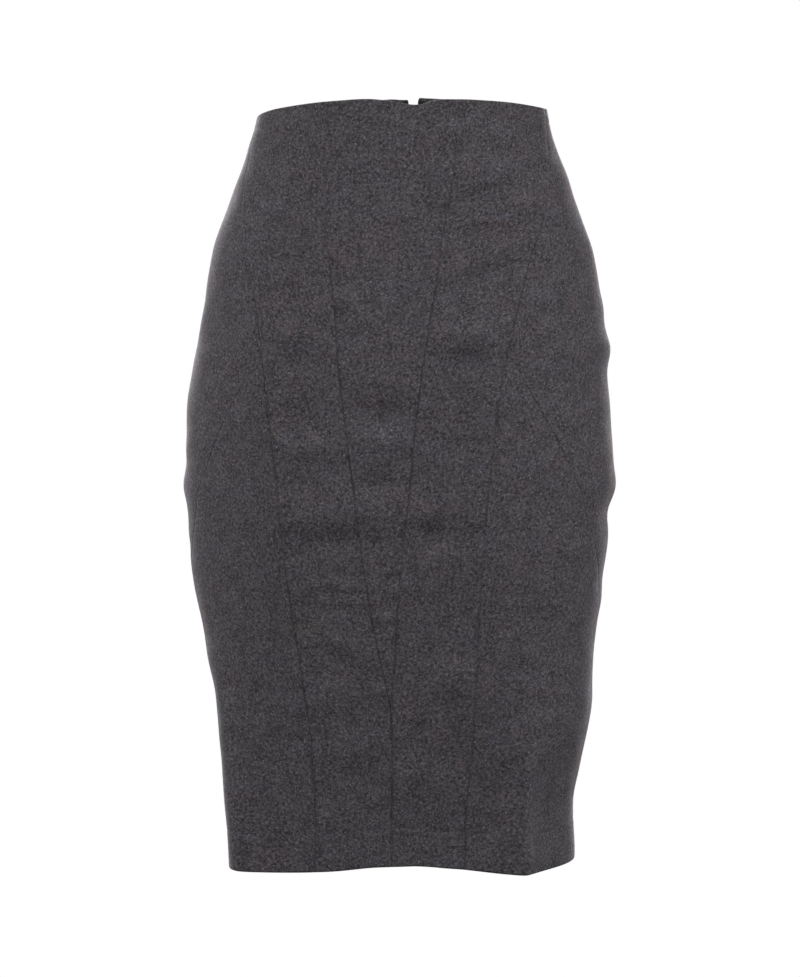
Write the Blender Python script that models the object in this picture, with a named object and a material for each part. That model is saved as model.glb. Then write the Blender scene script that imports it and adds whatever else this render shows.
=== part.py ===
"""High-waisted pencil skirt, hollow and filled out as if worn.

The front is cut in seven pieces: a long centre wedge, two inner panels that meet below it,
two hip panels and two side panels under a slanting seam. The back is two plain pieces that
meet at a concealed zip and, at the hem, in a short walking slit.
Sizes are in millimetres and degrees. Heights are measured from the waist, and angles from the
centre front towards the wearer's left, which is +X. The front faces -Y.
"""

import math
from collections import namedtuple

import bmesh
import bpy
import numpy as np
from mathutils import Matrix, Vector

MM = 0.001

# Cloth and seams
CLOTH_THICKNESS = 1.6
SEAM_GAP = 0.3
SIDE_SEAM_ANGLE = 91.0
CENTRE_BACK_ANGLE = 180.0

# The general figure that fills the skirt, one row for each level.
# squareness 2 is an ellipse, and more is squarer: front right, front left, then back.
# shift moves the whole section sideways, and twist turns the cloth on it.
Section = namedtuple(
    "Section",
    "height half_width front_depth back_depth square_right square_left square_back shift twist",
)
SECTIONS = [
    Section(-600, 133.6, 88, 99, 4.2, 2.15, 3.1, 2.4, 0.0),
    Section(-550, 135.5, 89, 101, 3.7, 2.15, 2.9, 1.0, 0.7),
    Section(-500, 143.9, 93, 104, 3.1, 2.3, 2.7, 2.4, 0.4),
    Section(-450, 150.4, 98, 109, 2.7, 2.35, 2.5, 1.8, -0.2),
    Section(-400, 158.2, 103, 115, 2.4, 2.35, 2.4, -1.6, -0.1),
    Section(-350, 166.2, 108, 122, 2.3, 2.3, 2.3, -2.8, -0.3),
    Section(-300, 171.2, 112, 127, 2.2, 2.2, 2.2, -2.0, -0.6),
    Section(-250, 170.2, 114, 129, 2.15, 2.15, 2.15, -2.0, -1.0),
    Section(-200, 164.8, 114, 126, 2.1, 2.1, 2.1, -1.4, -1.2),
    Section(-150, 158.2, 111, 119, 2.05, 2.05, 2.05, 0.7, -1.3),
    Section(-105, 150.6, 105, 111, 2.0, 2.0, 2.0, 0.0, -1.2),
    Section(-67, 137.6, 99, 103, 2.0, 2.0, 2.0, 0.6, -0.6),
    Section(-30, 123.9, 92, 96, 2.0, 2.0, 2.0, 1.0, -0.1),
    Section(0, 115.4, 86, 90, 2.0, 2.0, 2.0, 1.2, 0.0),
    Section(30, 112.5, 85, 88, 2.0, 2.0, 2.0, 1.2, 0.0),
]

# The cut edges, round the waist and round the hem
Edge = namedtuple("Edge", "angle waist hem")
EDGES = [
    Edge(-180, 24.0, -594.0),
    Edge(-150, 19.6, -594.0),
    Edge(-120, 10.2, -594.0),
    Edge(-90, 0.0, -594.5),
    Edge(-60, 1.6, -595.0),
    Edge(-30, 3.6, -593.0),
    Edge(-8, 3.8, -589.0),
    Edge(12, -0.6, -587.6),
    Edge(32, 4.0, -590.0),
    Edge(52, 4.0, -594.8),
    Edge(90, 4.0, -592.0),
    Edge(120, 12.6, -590.0),
    Edge(150, 20.0, -592.0),
    Edge(180, 24.0, -594.0),
]

# Front seams, the same on both sides: the edge of the centre wedge, and the long outer seam
Seam = namedtuple("Seam", "height wedge outer")
WEDGE_TIP = -465.0
TIP_CLEARANCE = 6.0
SEAMS = [
    Seam(-600, 0.0, 34.6),
    Seam(-560, 0.0, 34.4),
    Seam(-500, 0.0, 34.8),
    Seam(WEDGE_TIP, 0.0, 35.4),
    Seam(-430, 3.2, 36.2),
    Seam(-400, 5.2, 36.9),
    Seam(-350, 8.1, 37.7),
    Seam(-300, 10.8, 38.6),
    Seam(-250, 13.4, 41.1),
    Seam(-200, 16.4, 44.6),
    Seam(-170, 18.1, 47.6),
    Seam(-140, 20.6, 52.0),
    Seam(-109, 23.6, 58.3),
    Seam(-70, 27.4, 67.5),
    Seam(-34, 31.0, 76.0),
    Seam(0, 33.8, 84.0),
    Seam(30, 34.6, 87.0),
]

# The slanting seam between hip panel and side panel
Slant = namedtuple("Slant", "height angle")
SLANT_SEAM = [
    Slant(-405, 91.0),
    Slant(-352, 78.4),
    Slant(-321, 72.0),
    Slant(-285, 65.5),
    Slant(-247, 57.8),
    Slant(-216, 51.2),
    Slant(-190, 45.4),
]

# Half the gap between the two back pieces: an open notch over the zip, and the walking slit
Opening = namedtuple("Opening", "height half_gap")
CENTRE_BACK = [
    Opening(-600, 2.2),
    Opening(-530, 0.9),
    Opening(-450, 0.15),
    Opening(-400, 0.15),
    Opening(-34, 0.15),
    Opening(-20, 0.6),
    Opening(-8, 1.3),
    Opening(6, 2.6),
    Opening(20, 4.2),
    Opening(30, 5.0),
]

# Soft vertical ridges where the front turns into the side, growing towards the hem
Ridge = namedtuple("Ridge", "top_angle hem_angle top_height full_height spread lift")
RIDGES = [
    Ridge(-73, -57, -350, -590, 10, 10.5),
    Ridge(58, 53, -430, -590, 9, 15.0),
]

# Crosswise bulges and dents on the sides, where the cloth has slipped down the figure
Bulge = namedtuple("Bulge", "angle height spread half_height lift")
BULGES = [
    Bulge(92, -152, 26, 12, 1.5),
    Bulge(93, -186, 26, 14, 4.2),
    Bulge(92, -226, 24, 14, -1.8),
    Bulge(93, -294, 26, 13, 1.6),
    Bulge(92, -318, 26, 13, -3.2),
    Bulge(-90, -226, 26, 18, 1.6),
    Bulge(-90, -296, 24, 10, 1.8),
    Bulge(-92, -322, 24, 14, -1.2),
]

# Number of cells of each panel, across and down
WEDGE_CELLS = (6, 26)
INNER_CELLS = (5, 32)
HIP_CELLS = (9, 16)
SIDE_CELLS = (9, 22)
BACK_CELLS = (13, 32)

# Zip, on the inside of the centre back
ZIP_BOTTOM = -188.0
TAPE_WIDTH = 12.0
TAPE_THICKNESS = 0.6
TAPE_EDGE = 0.5
TAPE_CELLS = (2, 20)
CHAIN_WIDTH = 4.4
CHAIN_THICKNESS = 1.6
SLIDER_HEIGHT = -5.0
SLIDER_LENGTH = 9.0
SLIDER_WIDTH = 6.4
SLIDER_THICKNESS = 3.2
NECK_HALF_WIDTH = 0.7
NECK_LENGTH = 4.4
BRIDGE_HALF_WIDTH = 2.1
CHEEK_THICKNESS = 0.7
BRIDGE_LENGTH = 4.8
BRIDGE_BASE = 0.35
BRIDGE_BASE_TOP = 0.8
PIN_OUT = 2.6
PIN_RADIUS = 0.5
CHEEK_TOP = 3.5
TAB_EYE_HOLE = 0.8
TAB_EYE_RADIUS = 1.45
TAB_EYE_HALF_WIDTH = 1.05
TAB_LENGTH = 24.0
TAB_HALF_WIDTH = 2.9
TAB_THICKNESS = 0.9
TAB_OUT = 1.2
ROUND_SIDES = 20

COLOURS = {
    "wool": ((0.066, 0.062, 0.068, 1.0), 0.92, 0.0),
    "tape": ((0.012, 0.012, 0.013, 1.0), 0.85, 0.0),
    "metal": ((0.045, 0.044, 0.047, 1.0), 0.38, 0.9),
}


def material(name):
    """The named finish, made once."""
    found = bpy.data.materials.get(name)
    if found:
        return found
    colour, roughness, metallic = COLOURS[name]
    made = bpy.data.materials.new(name)
    made.use_nodes = True
    shader = made.node_tree.nodes["Principled BSDF"]
    shader.inputs["Base Color"].default_value = colour
    shader.inputs["Roughness"].default_value = roughness
    shader.inputs["Metallic"].default_value = metallic
    made.diffuse_color = colour
    return made


def smooth_column(table, key, column, at):
    """A column's value at a height or an angle, on a smooth curve through the rows."""
    keys = np.array([getattr(row, key) for row in table], float)
    values = np.array([getattr(row, column) for row in table], float)
    slopes = np.gradient(values, keys)
    at = np.clip(at, keys[0], keys[-1])
    row = np.clip(np.searchsorted(keys, at, side="right") - 1, 0, len(keys) - 2)
    span = keys[row + 1] - keys[row]
    t = (at - keys[row]) / span
    from_rows = values[row] * (1 + 2 * t) * (1 - t) ** 2 + values[row + 1] * t * t * (3 - 2 * t)
    from_slopes = slopes[row] * t * (1 - t) ** 2 - slopes[row + 1] * t * t * (1 - t)
    return from_rows + span * from_slopes


def straight_column(table, key, column, at):
    """A column's value between two rows, on a straight line."""
    keys = [getattr(row, key) for row in table]
    return np.interp(at, keys, [getattr(row, column) for row in table])


def turn_between(angle, centre):
    """Signed angle from centre to angle, from -180 to 180."""
    return (angle - centre + 180.0) % 360.0 - 180.0


def rise(x):
    """Smooth step from 0 to 1."""
    x = np.clip(x, 0.0, 1.0)
    return x * x * (3 - 2 * x)


def fold_lift(angle, height):
    """How far the ridges and bulges push the cloth out, in millimetres."""
    lift = np.zeros(np.broadcast(angle, height).shape)
    for ridge in RIDGES:
        share = (ridge.top_height - height) / (ridge.top_height - ridge.full_height)
        centre = ridge.top_angle + (ridge.hem_angle - ridge.top_angle) * np.clip(share, 0, 1)
        away = turn_between(angle, centre) / ridge.spread
        lift = lift + ridge.lift * rise(share) * np.exp(-np.abs(away) ** 1.6)
    for bulge in BULGES:
        across = turn_between(angle, bulge.angle) / bulge.spread
        down = (height - bulge.height) / bulge.half_height
        lift = lift + bulge.lift * np.exp(-across * across - down * down)
    return lift


def figure_point(angle, height):
    """Point of the cloth's outer face at an angle round the figure and a height."""
    level = {c: smooth_column(SECTIONS, "height", c, height) for c in Section._fields[1:]}
    side = np.sin(np.radians(angle))
    ahead = np.cos(np.radians(angle))
    depth = np.where(ahead > 0, level["front_depth"], level["back_depth"])
    front_square = np.where(side < 0, level["square_right"], level["square_left"])
    square = np.where(ahead > 0, front_square, level["square_back"])
    wide = (np.abs(side) / level["half_width"]) ** square
    deep = (np.abs(ahead) / depth) ** square
    radius = (wide + deep) ** (-1.0 / square) + fold_lift(angle, height)
    return np.stack([radius * side + level["shift"], -radius * ahead, height + 0.0 * side], -1)


def cloth_point(angle, height):
    """Point of the outer face at an angle measured on the cloth from its centre front."""
    return figure_point(angle + smooth_column(SECTIONS, "height", "twist", height), height)


def cloth_normal(angle, height):
    """Outward direction of the cloth."""
    step_round = cloth_point(angle + 1.0, height) - cloth_point(angle - 1.0, height)
    step_up = cloth_point(angle, height + 3.0) - cloth_point(angle, height - 3.0)
    outward = np.cross(step_round, step_up)
    return outward / np.linalg.norm(outward, axis=-1, keepdims=True)


def degrees_across(distance, angle, height):
    """The angle that a short distance takes round the cloth."""
    step = cloth_point(angle + 0.5, height) - cloth_point(angle - 0.5, height)
    return distance / np.linalg.norm(step, axis=-1)


def seam_gap_angle(seam, height, angle):
    """Half a seam's gap as an angle, wider where the seam slants."""
    run = np.radians(seam(height + 4.0) - seam(height - 4.0)) / 8.0
    reach = np.linalg.norm(cloth_point(angle, height)[..., :2], axis=-1)
    half = 0.5 * SEAM_GAP * np.sqrt(1.0 + (run * reach) ** 2)
    return degrees_across(half, angle, height)


def wedge_seam(height):
    return np.maximum(straight_column(SEAMS, "height", "wedge", height), 0.0)


def outer_seam(height):
    return smooth_column(SEAMS, "height", "outer", height)


def side_seam(height):
    return SIDE_SEAM_ANGLE + 0.0 * height


def left_of(seam, height):
    """Edge of the piece that starts at a seam, on the wearer's left side."""
    angle = seam(height)
    return angle + seam_gap_angle(seam, height, angle)


def right_of(seam, height):
    """Edge of the piece that ends at a seam, on the wearer's left side."""
    angle = seam(height)
    return angle - seam_gap_angle(seam, height, angle)


def centre_back_edge(height):
    half = np.maximum(smooth_column(CENTRE_BACK, "height", "half_gap", height), 0.5 * SEAM_GAP)
    return CENTRE_BACK_ANGLE - degrees_across(half, CENTRE_BACK_ANGLE, height)


def place_rows(start_edge, end_edge, across, down, mirrored=False):
    """Angles and heights of a grid between two edges; down is the share from waist to hem."""
    side = -1.0 if mirrored else 1.0
    height = down * SECTIONS[0].height
    for _ in range(6):
        start = start_edge(height)
        angle = start + across * (end_edge(height) - start)
        waist = smooth_column(EDGES, "angle", "waist", side * angle)
        hem = smooth_column(EDGES, "angle", "hem", side * angle)
        height = waist + down * (hem - waist)
    return side * angle, height


def share_at(angle, height, mirrored):
    """Share of the way from waist to hem at which a height lies."""
    side = -1.0 if mirrored else 1.0
    waist = smooth_column(EDGES, "angle", "waist", side * angle)
    hem = smooth_column(EDGES, "angle", "hem", side * angle)
    return (height - waist) / (hem - waist)


def slant_share(across, mirrored):
    """Share from waist to hem where the slanting seam crosses each column of the side."""
    heights = np.linspace(SLANT_SEAM[0].height, SLANT_SEAM[-1].height, 200)
    angles = smooth_column(SLANT_SEAM, "height", "angle", heights)
    outer = outer_seam(heights)
    columns = (angles - outer) / (side_seam(heights) - outer)
    height = np.interp(across, columns[::-1], heights[::-1])
    return share_at(np.interp(height, heights, angles), height, mirrored)


def mesh_object(name, vertices, faces, finish):
    """An object in metres from points in millimetres."""
    mesh = bpy.data.meshes.new(name)
    mesh.from_pydata([tuple(MM * c for c in v) for v in vertices], [], faces)
    mesh.materials.append(material(finish))
    mesh.validate()
    made = bpy.data.objects.new(name, mesh)
    bpy.context.scene.collection.objects.link(made)
    made.data.shade_smooth()
    made.data.set_sharp_from_angle(angle=math.radians(40))
    return made


def wall(name, angles, heights, near, far, finish):
    """A closed wall over a grid of cloth angles and heights, between two depths inside it."""
    if angles[0, 0] > angles[0, -1]:
        angles, heights = angles[:, ::-1], heights[:, ::-1]
    face = cloth_point(angles, heights)
    inward = -cloth_normal(angles, heights)
    rows, columns = angles.shape
    outer = (face + near * inward).reshape(-1, 3)
    inner = (face + far * inward).reshape(-1, 3)
    back = rows * columns

    def at(row, column):
        return row * columns + column

    faces = []
    for r in range(rows - 1):
        for c in range(columns - 1):
            quad = (at(r, c), at(r + 1, c), at(r + 1, c + 1), at(r, c + 1))
            faces.append(quad)
            faces.append(tuple(back + i for i in reversed(quad)))
    border = [at(0, c) for c in range(columns - 1)]
    border += [at(r, columns - 1) for r in range(rows - 1)]
    border += [at(rows - 1, c) for c in range(columns - 1, 0, -1)]
    border += [at(r, 0) for r in range(rows - 1, 0, -1)]
    for here, there in zip(border, border[1:] + border[:1]):
        faces.append((here, there, back + there, back + here))
    return mesh_object(name, np.vstack([outer, inner]), faces, finish)


def cell_grid(cells, top=0.0, bottom=1.0):
    """Shares across and down for a panel of so many cells."""
    across, down = np.meshgrid(
        np.linspace(0.0, 1.0, cells[0] + 1), np.linspace(top, bottom, cells[1] + 1)
    )
    return across, down


def cloth_panel(name, start_edge, end_edge, across, down, mirrored=False):
    angles, heights = place_rows(start_edge, end_edge, across, down, mirrored)
    return wall(name, angles, heights, 0.0, CLOTH_THICKNESS, "wool")


def make_centre_wedge():
    """Long triangle from the waist down to the point where the inner panels meet."""
    tip_share = share_at(0.0, WEDGE_TIP + TIP_CLEARANCE, False)
    across, down = cell_grid(WEDGE_CELLS, 0.0, tip_share)
    cloth_panel(
        "front_centre",
        lambda height: -right_of(wedge_seam, height),
        lambda height: right_of(wedge_seam, height),
        across,
        down,
    )


def make_side_pieces(side_name, mirrored):
    """The three front pieces and the back piece of one side."""
    across, down = cell_grid(INNER_CELLS)
    cloth_panel(
        f"front_inner_{side_name}",
        lambda height: left_of(wedge_seam, height),
        lambda height: right_of(outer_seam, height),
        across,
        down,
        mirrored,
    )
    half_gap = 0.7 * SEAM_GAP / (EDGES[0].waist - EDGES[0].hem)
    across, share = cell_grid(HIP_CELLS)
    cloth_panel(
        f"front_hip_{side_name}",
        lambda height: left_of(outer_seam, height),
        lambda height: right_of(side_seam, height),
        across,
        share * (slant_share(across, mirrored) - half_gap),
        mirrored,
    )
    across, share = cell_grid(SIDE_CELLS)
    start = slant_share(across, mirrored) + half_gap
    cloth_panel(
        f"front_side_{side_name}",
        lambda height: left_of(outer_seam, height),
        lambda height: right_of(side_seam, height),
        across,
        start + share * (1.0 - start),
        mirrored,
    )
    across, down = cell_grid(BACK_CELLS)
    cloth_panel(
        f"back_{side_name}",
        lambda height: left_of(side_seam, height),
        centre_back_edge,
        across,
        down,
        mirrored,
    )


def make_zip_tape(side_name, mirrored):
    """Woven tape sewn inside the back piece, from the waist edge down past the zip's end."""
    side = -1.0 if mirrored else 1.0
    across, down = cell_grid(TAPE_CELLS)
    top = EDGES[0].waist - 1.0
    height = top + down * (ZIP_BOTTOM - top)
    half = np.maximum(smooth_column(CENTRE_BACK, "height", "half_gap", height), TAPE_EDGE)
    reach = half + across * TAPE_WIDTH
    angle = CENTRE_BACK_ANGLE - degrees_across(reach, CENTRE_BACK_ANGLE, height)
    near = CLOTH_THICKNESS + SEAM_GAP
    wall(f"zip_tape_{side_name}", side * angle, height, near, near + TAPE_THICKNESS, "tape")


def make_zip_chain():
    """The closed teeth, one flat cord behind the seam from the slider to the zip's end."""
    near = CLOTH_THICKNESS + TAPE_THICKNESS + 2 * SEAM_GAP
    top = SLIDER_HEIGHT - 0.5 * SLIDER_LENGTH - SEAM_GAP
    across, down = cell_grid((2, 18))
    height = top + down * (ZIP_BOTTOM + 6.0 - top)
    reach = degrees_across(0.5 * CHAIN_WIDTH, CENTRE_BACK_ANGLE, height)
    angle = CENTRE_BACK_ANGLE + (across - 0.5) * 2.0 * reach
    wall("zip_chain", angle, height, near, near + CHAIN_THICKNESS, "tape")


def centre_back_slope(top, bottom):
    """Angle by which the centre back leans outwards from one height down to another."""
    above = cloth_point(CENTRE_BACK_ANGLE, top)
    below = cloth_point(CENTRE_BACK_ANGLE, bottom)
    return math.atan2(below[1] - above[1], above[2] - below[2])


def zip_frame():
    """Places the slider on the slope of the centre back: local X across, Y out, Z up."""
    origin = cloth_point(CENTRE_BACK_ANGLE, SLIDER_HEIGHT)
    half = 0.5 * SLIDER_LENGTH
    slope = centre_back_slope(SLIDER_HEIGHT + half, SLIDER_HEIGHT - half)
    return Matrix.Translation(Vector(origin)) @ Matrix.Rotation(slope, 4, "X")


def add_block(mesh, low, high):
    """A box in a bmesh between two corners."""
    low, high = Vector(low), Vector(high)
    place = Matrix.Translation((low + high) / 2) @ Matrix.Diagonal((*(high - low), 1.0))
    bmesh.ops.create_cube(mesh, size=1.0, matrix=place)


def add_rod(mesh, radius, half_length, out):
    """A round bar along X in a bmesh."""
    place = Matrix.Translation((0, out, 0)) @ Matrix.Rotation(math.radians(90), 4, "Y")
    bmesh.ops.create_cone(
        mesh,
        cap_ends=True,
        segments=ROUND_SIDES,
        radius1=radius,
        radius2=radius,
        depth=2 * half_length,
        matrix=place,
    )


def local_object(name, fill, finish, frame):
    """An object from a bmesh filled in a local frame in millimetres."""
    mesh = bmesh.new()
    fill(mesh)
    bmesh.ops.transform(mesh, matrix=Matrix.Scale(MM, 4) @ frame, verts=mesh.verts)
    bmesh.ops.recalc_face_normals(mesh, faces=mesh.faces)
    data = bpy.data.meshes.new(name)
    mesh.to_mesh(data)
    mesh.free()
    data.materials.append(material(finish))
    made = bpy.data.objects.new(name, data)
    bpy.context.scene.collection.objects.link(made)
    return made


def join_into(target, other):
    """Boolean union of a helper into its target, applied by the modifier."""
    union = target.modifiers.new("union", "BOOLEAN")
    union.operation = "UNION"
    union.object = other
    other.hide_render = True
    other.display_type = "WIRE"


def make_slider(frame):
    """Slider body behind the teeth, with a neck through the seam and a bridge with a pin."""
    body_top = -(CLOTH_THICKNESS + TAPE_THICKNESS + 2 * SEAM_GAP)
    half_length = 0.5 * SLIDER_LENGTH
    half_width = 0.5 * SLIDER_WIDTH

    def fill_body(mesh):
        add_block(
            mesh,
            (-half_width, body_top - SLIDER_THICKNESS, -half_length),
            (half_width, body_top, half_length),
        )
        bottom = [v for v in mesh.verts if v.co.z < 0]
        bmesh.ops.scale(mesh, vec=(0.78, 1, 1), verts=bottom)
        upright = [e for e in mesh.edges if abs(e.verts[0].co.y - e.verts[1].co.y) > 1.0]
        bmesh.ops.bevel(mesh, geom=upright, offset=1.1, segments=3, affect="EDGES")

    def fill_neck(mesh):
        add_block(
            mesh,
            (-NECK_HALF_WIDTH, body_top - 1.0, -0.5 * NECK_LENGTH),
            (NECK_HALF_WIDTH, BRIDGE_BASE_TOP - 0.2, 0.5 * NECK_LENGTH),
        )

    def fill_base(mesh):
        add_block(
            mesh,
            (-BRIDGE_HALF_WIDTH, BRIDGE_BASE, -0.5 * BRIDGE_LENGTH),
            (BRIDGE_HALF_WIDTH, BRIDGE_BASE_TOP, 0.5 * BRIDGE_LENGTH),
        )

    def fill_cheek(side):
        def fill(mesh):
            inner = side * (BRIDGE_HALF_WIDTH - CHEEK_THICKNESS)
            outer = side * BRIDGE_HALF_WIDTH
            low_x, high_x = sorted((inner, outer))
            low = (low_x, BRIDGE_BASE + 0.1, -0.4 * BRIDGE_LENGTH)
            add_block(mesh, low, (high_x, CHEEK_TOP, 0.4 * BRIDGE_LENGTH))
            crown = [v for v in mesh.verts if v.co.y > PIN_OUT]
            bmesh.ops.scale(mesh, vec=(1, 1, 0.5), verts=crown)

        return fill

    def fill_pin(mesh):
        add_rod(mesh, PIN_RADIUS, BRIDGE_HALF_WIDTH - 0.2, PIN_OUT)

    slider = local_object("zip_slider", fill_body, "metal", frame)
    helpers = [
        local_object("neck_form", fill_neck, "metal", frame),
        local_object("bridge_base_form", fill_base, "metal", frame),
        local_object("cheek_form_left", fill_cheek(1.0), "metal", frame),
        local_object("cheek_form_right", fill_cheek(-1.0), "metal", frame),
        local_object("pin_form", fill_pin, "metal", frame),
    ]
    for helper in helpers:
        join_into(slider, helper)


def make_pull_tab(frame):
    """Flat drop-shaped tab whose eye swings on the slider's pin."""
    eye_bottom = -(TAB_EYE_RADIUS - 0.35)
    low_out, high_out = TAB_OUT - PIN_OUT, TAB_OUT - PIN_OUT + TAB_THICKNESS

    def half_width_at(down):
        """Half width of the flat part: narrow at the eye, full near the round end."""
        shoulder = rise(down / (0.62 * TAB_LENGTH))
        width = TAB_EYE_HALF_WIDTH + (TAB_HALF_WIDTH - TAB_EYE_HALF_WIDTH) * shoulder
        left_over = TAB_LENGTH - down
        if left_over < TAB_HALF_WIDTH:
            width *= math.sqrt(max(0.0, 1 - (1 - left_over / TAB_HALF_WIDTH) ** 2))
        return float(width)

    def fill_plate(mesh):
        downs = [-eye_bottom + (TAB_LENGTH + eye_bottom) * k / 14 for k in range(14)]
        downs += [TAB_LENGTH - 0.9, TAB_LENGTH - 0.25]
        outline = [(half_width_at(d), -d) for d in downs]
        outline += [(-x, z) for x, z in reversed(outline)]
        corners = [mesh.verts.new((x, low_out, z)) for x, z in outline]
        sheet = mesh.faces.new(corners)
        lifted = bmesh.ops.extrude_face_region(mesh, geom=[sheet])["geom"]
        new = [v for v in lifted if isinstance(v, bmesh.types.BMVert)]
        bmesh.ops.translate(mesh, vec=(0, high_out - low_out, 0), verts=new)

    def fill_eye(mesh):
        add_rod(mesh, TAB_EYE_RADIUS, TAB_EYE_HALF_WIDTH, 0.0)

    def fill_hole(mesh):
        add_rod(mesh, TAB_EYE_HOLE, 2 * TAB_EYE_HALF_WIDTH, 0.0)

    pivot = frame @ Vector((0, PIN_OUT, 0))
    slope = centre_back_slope(SLIDER_HEIGHT, SLIDER_HEIGHT - TAB_LENGTH)
    turn = Matrix.Rotation(slope, 4, "X")
    tab = local_object("zip_pull_tab", fill_eye, "metal", turn)
    plate = local_object("tab_plate_form", fill_plate, "metal", turn)
    hole = local_object("tab_hole_form", fill_hole, "metal", turn)
    join_into(tab, plate)
    bore = tab.modifiers.new("bore", "BOOLEAN")
    bore.operation = "DIFFERENCE"
    bore.object = hole
    hole.hide_render = True
    hole.display_type = "WIRE"
    for piece in (tab, plate, hole):
        piece.location = MM * pivot


def clear_scene():
    for found in list(bpy.data.objects):
        bpy.data.objects.remove(found)


def build_skirt():
    clear_scene()
    make_centre_wedge()
    for side_name, mirrored in (("left", False), ("right", True)):
        make_side_pieces(side_name, mirrored)
        make_zip_tape(side_name, mirrored)
    make_zip_chain()
    frame = zip_frame()
    make_slider(frame)
    make_pull_tab(frame)


build_skirt()
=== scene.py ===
"""Charcoal grey marl wool pencil skirt, hollow and filled out as if worn: its looks.

Sizes are in millimetres and degrees. Heights are measured from the waist, and angles from the
centre front towards the wearer's left, which is +X. The front faces -Y.
"""
import math
from collections import namedtuple

import bpy
import numpy as np
from mathutils import Matrix, Vector


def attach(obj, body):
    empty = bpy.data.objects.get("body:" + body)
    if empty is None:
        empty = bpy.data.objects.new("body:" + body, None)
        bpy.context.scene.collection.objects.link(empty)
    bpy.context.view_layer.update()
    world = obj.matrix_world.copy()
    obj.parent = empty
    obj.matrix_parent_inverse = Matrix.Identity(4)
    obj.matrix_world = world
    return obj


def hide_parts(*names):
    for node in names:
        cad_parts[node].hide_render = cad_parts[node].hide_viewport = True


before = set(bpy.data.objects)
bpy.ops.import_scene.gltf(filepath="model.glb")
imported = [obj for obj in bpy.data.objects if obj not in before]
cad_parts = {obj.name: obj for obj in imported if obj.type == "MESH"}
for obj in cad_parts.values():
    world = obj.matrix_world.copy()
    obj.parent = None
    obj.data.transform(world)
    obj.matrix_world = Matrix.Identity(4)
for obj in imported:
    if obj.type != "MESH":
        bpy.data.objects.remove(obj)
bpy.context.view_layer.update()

scene = bpy.context.scene
MM = 0.001

# Studio: the camera stands at hip height, a little to the wearer's left, in a white room with a
# white floor. Wide soft boxes hang overhead in front and behind, and small ones stand around it.
CAMERA_PLACE = (0.2404, -2.2874, -0.243)
CAMERA_TURN = 6.02
CAMERA_DIP = 1.365
CAMERA_LENS = 105.94
FLOOR_LEVEL = -1.05
FLOOR_SIZE = 16
ROOM_LIGHT = 0.20
FLOOR_LIGHT = 0.02
LIGHT_AIM = (0, 0, -0.3)

scene.camera = bpy.data.objects.new("camera", bpy.data.cameras.new("camera"))
scene.collection.objects.link(scene.camera)
scene.camera.location = CAMERA_PLACE
scene.camera.rotation_euler = (math.radians(90 - CAMERA_DIP), 0, math.radians(CAMERA_TURN))
scene.camera.data.lens = CAMERA_LENS
scene.camera.data.dof.use_dof = False
scene.view_settings.view_transform = "Standard"


def fill(tree, socket, value):
    """Gives a socket a constant or another node's output."""
    if isinstance(value, (int, float, tuple)):
        socket.default_value = value
    else:
        tree.links.new(value, socket)


def feed(tree, node, **values):
    """Fills a node's sockets, named here with underscores for spaces."""
    for name, value in values.items():
        fill(tree, node.inputs[name.replace("_", " ")], value)
    return node


def add_node(tree, kind, **values):
    return feed(tree, tree.nodes.new(kind), **values)


def camera_white(tree, shader, light):
    """Makes a white shader read full white to the camera and give a weaker light."""
    path = add_node(tree, "ShaderNodeLightPath")
    level = add_node(
        tree, "ShaderNodeMapRange", Value=path.outputs["Is Camera Ray"], To_Min=light, To_Max=1.0
    )
    feed(tree, shader, Strength=level.outputs["Result"], Color=(1, 1, 1, 1))


scene.world = bpy.data.worlds.new("white_room")
scene.world.use_nodes = True
camera_white(scene.world.node_tree, scene.world.node_tree.nodes["Background"], ROOM_LIGHT)

bpy.ops.mesh.primitive_plane_add(size=FLOOR_SIZE, location=(0, 0, FLOOR_LEVEL))
floor = bpy.context.object
floor.name = "white_floor"
floor_paint = bpy.data.materials.new("white_floor_paint")
floor_paint.use_nodes = True
floor_tree = floor_paint.node_tree
floor_tree.nodes.clear()
floor_glow = add_node(floor_tree, "ShaderNodeEmission")
add_node(floor_tree, "ShaderNodeOutputMaterial", Surface=floor_glow.outputs[0])
camera_white(floor_tree, floor_glow, FLOOR_LIGHT)
floor.data.materials.append(floor_paint)


def soft_box(name, place, size, power):
    """A square area light aimed at the middle of the skirt."""
    light = bpy.data.lights.new(name, "AREA")
    light.size = size
    light.energy = power
    lamp = bpy.data.objects.new(name, light)
    lamp.location = place
    aim = Vector(LIGHT_AIM) - Vector(place)
    lamp.rotation_euler = aim.to_track_quat("-Z", "Y").to_euler()
    scene.collection.objects.link(lamp)


soft_box("overhead_box", (0.35, -2.1, 2.5), 1.5, 61)
soft_box("front_left_box", (0.5, -0.95, -0.3), 0.4, 1.7)
soft_box("front_right_box", (-0.35, -0.95, -0.3), 0.4, 2.0)
soft_box("left_box", (1.9, 0.3, -0.4), 0.35, 14)
soft_box("right_box", (-1.9, 0.5, -0.27), 0.5, 19)
soft_box("rear_overhead_box", (-0.3, 2.1, 2.5), 1.5, 82)
soft_box("rear_box", (-0.2, 1.3, -0.35), 0.7, 2.2)


# Front centre wedge: the long triangle in the middle of the front, of charcoal marl wool flannel
# with a short nap. It is sewn to the inner panels with pressed-open seams, and its top edge is
# turned in and stitched down. The figure that all the panels lie on is set out here too.
CLOTH = 1.6
ALLOWANCE = 12.0
ALLOWANCE_CLOTH = 1.3
WAIST_TURN = 12.0
HEM_TURN = 30.0

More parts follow.
